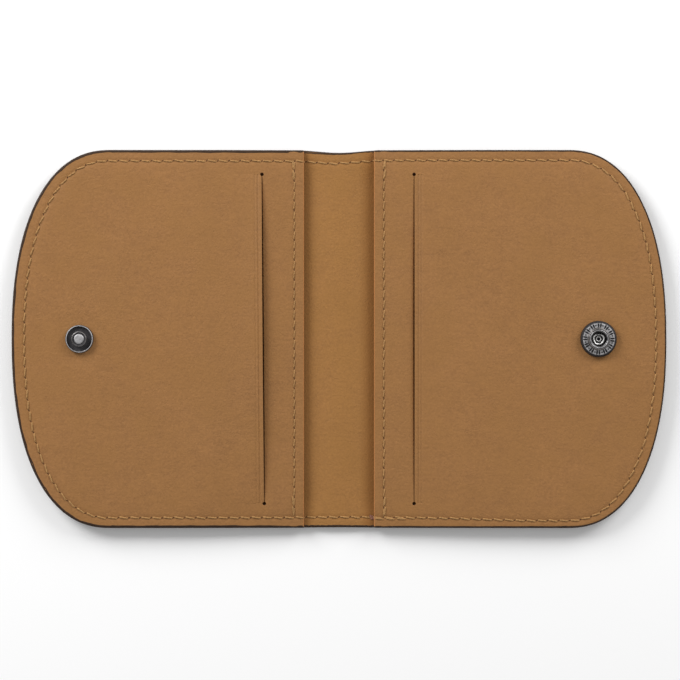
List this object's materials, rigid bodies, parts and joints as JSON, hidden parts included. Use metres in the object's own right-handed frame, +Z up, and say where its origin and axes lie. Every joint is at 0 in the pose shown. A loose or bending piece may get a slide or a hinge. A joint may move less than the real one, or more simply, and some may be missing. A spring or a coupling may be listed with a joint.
{
  "type": "bifold wallet",
  "caption": "Compact leather bifold wallet, open flat, with a slit card pocket in each half and a ring-spring snap that closes it.",
  "frame": {"origin": "under the middle of the spine, on the outer leather's underside, centred on the open wallet", "axes": "+X along the open width from the stud half to the socket half, +Y along the height, +Z up out of the inside face"},
  "size_m": [0.187, 0.108, 0.0065],
  "materials": {
    "outer_leather": "matte dark brown with a painted edge",
    "panel_leather": "smooth matte tan with fine grain",
    "lining_leather": "smooth matte tan with fine grain",
    "welt_leather": "suede side, dark",
    "stiffener_board": "pressed fibre board",
    "thread": "waxed polyester thread, tan",
    "stud_metal": "gunmetal plated brass",
    "socket_metal": "gunmetal plated brass",
    "spring_steel": "bright spring wire"
  },
  "bodies": {
    "spine": {"shell_spine": "outer_leather", "lining_spine": "lining_leather", "edge_thread_spine": "thread"},
    "left_half": {"shell_left": "outer_leather", "stiffener_left": "stiffener_board", "lining_left": "lining_leather", "slot_strip_left": "panel_leather", "pocket_welt_left": "welt_leather", "card_panel_left": "panel_leather", "edge_thread_left": "thread", "panel_thread_left": "thread", "snap_stud": "stud_metal", "stud_post": "stud_metal"},
    "right_half": {"shell_right": "outer_leather", "stiffener_right": "stiffener_board", "lining_right": "lining_leather", "slot_strip_right": "panel_leather", "pocket_welt_right": "welt_leather", "card_panel_right": "panel_leather", "edge_thread_right": "thread", "panel_thread_right": "thread", "snap_socket": "socket_metal", "socket_post": "socket_metal", "ring_spring": "spring_steel"}
  },
  "joints": [
    {"name": "left_fold", "type": "hinge", "parent": "spine", "child": "left_half", "pos_m": [-0.0039, 0, 0.0016], "axis": [0, 1, 0], "range_deg": [0, 90]},
    {"name": "right_fold", "type": "hinge", "parent": "spine", "child": "right_half", "pos_m": [0.0039, 0, 0.0016], "axis": [0, -1, 0], "range_deg": [0, 90]}
  ]
}
